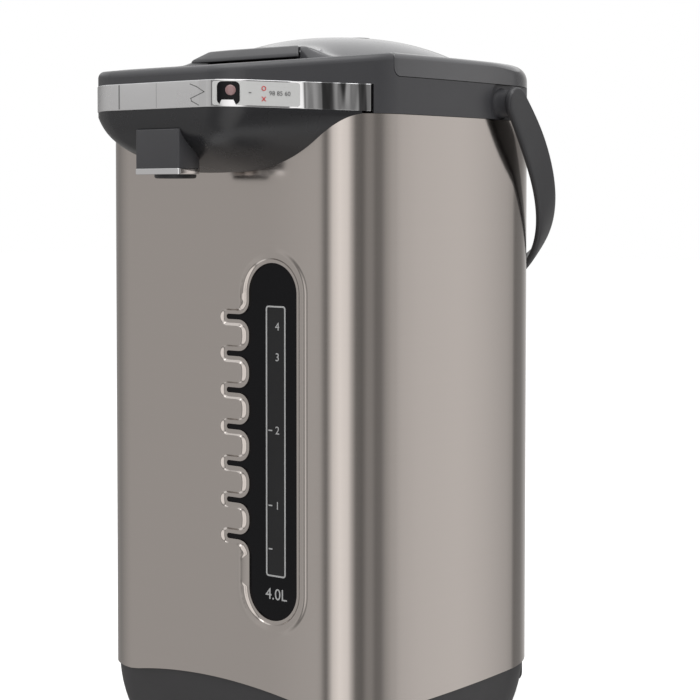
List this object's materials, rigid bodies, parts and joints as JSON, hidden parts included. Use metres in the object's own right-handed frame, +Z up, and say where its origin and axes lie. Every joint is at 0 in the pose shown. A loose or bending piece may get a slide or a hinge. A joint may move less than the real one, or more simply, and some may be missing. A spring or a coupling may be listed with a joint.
{
  "type": "electric thermo pot",
  "caption": "Upright electric thermo pot with a brushed steel body, beaked tap head with control strip, hinged lid, level gauge and bail handle.",
  "frame": {"origin": "on the table, under the middle of the steel body, at the centre of the swivel foot", "axes": "+Z up, -Y towards the front with the beak and spout, +X to the right seen from behind the pot's front"},
  "size_m": [0.19, 0.2337, 0.3457],
  "materials": {
    "steel": "brushed warm grey steel",
    "base_plastic": "moulded dark grey plastic",
    "head_plastic": "moulded charcoal plastic, satin",
    "lid_plastic": "moulded charcoal plastic, semi-gloss",
    "handle_plastic": "moulded charcoal plastic",
    "chrome": "bright plated",
    "label": "satin silver",
    "gauge_black": "black gloss",
    "clear": "clear",
    "lens": "red lens",
    "black_plastic": "black",
    "key_plastic": "grey keys",
    "liner_steel": "stainless liner",
    "zinc": "zinc plated",
    "pin_metal": "plated brass",
    "silicone": "translucent silicone",
    "rubber": "black rubber",
    "white_plastic": "natural heat-proof plastic",
    "aluminium": "cast",
    "board": "circuit board",
    "impeller_blue": "moulded",
    "ceramic_white": "ceramic bodies"
  },
  "bodies": {
    "pot": {"outer_shell": "steel", "base_ring": "base_plastic", "bottom_cover": "black_plastic", "bottom_screws": "zinc", "tank_support": "zinc", "inlet_housing": "black_plastic", "inlet_pins": "pin_metal", "inner_tank": "liner_steel", "tank_seal": "silicone", "heater_plate": "aluminium", "heater_element": "aluminium", "thermostats": "ceramic_white", "thermal_fuse": "ceramic_white", "pump_motor": "zinc", "pump_housing": "white_plastic", "suction_hose": "silicone", "delivery_hose": "silicone", "gauge_lower_fitting": "white_plastic", "gauge_tube": "clear", "gauge_upper_fitting": "white_plastic", "gauge_panel": "gauge_black", "gauge_window": "clear", "outlet_hose": "silicone", "valve_body": "white_plastic", "valve_ball": "liner_steel", "spout_tube": "white_plastic", "spout_housing": "head_plastic", "spout_band": "chrome", "spout_nozzle": "black_plastic", "collar": "head_plastic", "beak_hood": "head_plastic", "control_strip": "chrome", "label_plate": "label", "indicator_window": "gauge_black", "indicator_lens": "lens", "key_mat": "silicone", "control_board": "board", "power_board": "board", "rear_cover": "head_plastic", "rear_cover_screws": "zinc"},
    "foot": {"swivel_foot": "black_plastic", "foot_pads": "rubber", "swivel_clip": "zinc"},
    "lid": {"lid_cover": "lid_plastic", "lid_lining": "white_plastic", "lid_gasket": "silicone", "lid_hinge_pin": "zinc", "lever_pin": "zinc", "lever_spring": "zinc", "steam_vent": "base_plastic"},
    "lever": {"lid_lever": "base_plastic"},
    "latch": {"latch_tongue": "white_plastic"},
    "dispense_button": {"dispense_key": "key_plastic"},
    "reboil_button": {"reboil_key": "key_plastic"},
    "unlock_button": {"unlock_key": "key_plastic"},
    "bail": {"handle": "handle_plastic"},
    "impeller": {"pump_impeller": "impeller_blue"}
  },
  "joints": [
    {"name": "swivel", "type": "hinge", "parent": "pot", "child": "foot", "pos_m": [0, 0, 0], "axis": [0, 0, 1], "continuous": true},
    {"name": "lid_hinge", "type": "hinge", "parent": "pot", "child": "lid", "pos_m": [0, 0.06, 0.3256], "axis": [-1, 0, 0], "range_deg": [0, 85]},
    {"name": "lever_pivot", "type": "hinge", "parent": "lid", "child": "lever", "pos_m": [0, -0.053, 0.3323], "axis": [-1, 0, 0], "range_deg": [0, 25], "stiffness_Nm_per_rad": 0.03, "springref_deg": -14.32},
    {"name": "latch_slide", "type": "slide", "parent": "lid", "child": "latch", "axis": [0, 1, 0], "range_m": [0, 0.00205], "stiffness_N_per_m": 40, "springref_m": -0.002},
    {"name": "dispense_press", "type": "slide", "parent": "pot", "child": "dispense_button", "axis": [0, 0.1043, -0.9945], "range_m": [0, 0.0012], "stiffness_N_per_m": 300, "springref_m": -0.0008},
    {"name": "reboil_press", "type": "slide", "parent": "pot", "child": "reboil_button", "axis": [0, 0.1043, -0.9945], "range_m": [0, 0.0012], "stiffness_N_per_m": 300, "springref_m": -0.0008},
    {"name": "unlock_press", "type": "slide", "parent": "pot", "child": "unlock_button", "axis": [0, 0.1043, -0.9945], "range_m": [0, 0.0012], "stiffness_N_per_m": 300, "springref_m": -0.0008},
    {"name": "handle_swing", "type": "hinge", "parent": "pot", "child": "bail", "pos_m": [0, 0.0255, 0.3098], "axis": [1, 0, 0], "range_deg": [0, 150]},
    {"name": "impeller_spin", "type": "hinge", "parent": "pot", "child": "impeller", "pos_m": [0.02, -0.051, 0.045], "axis": [0, 0, 1], "continuous": true}
  ]
}
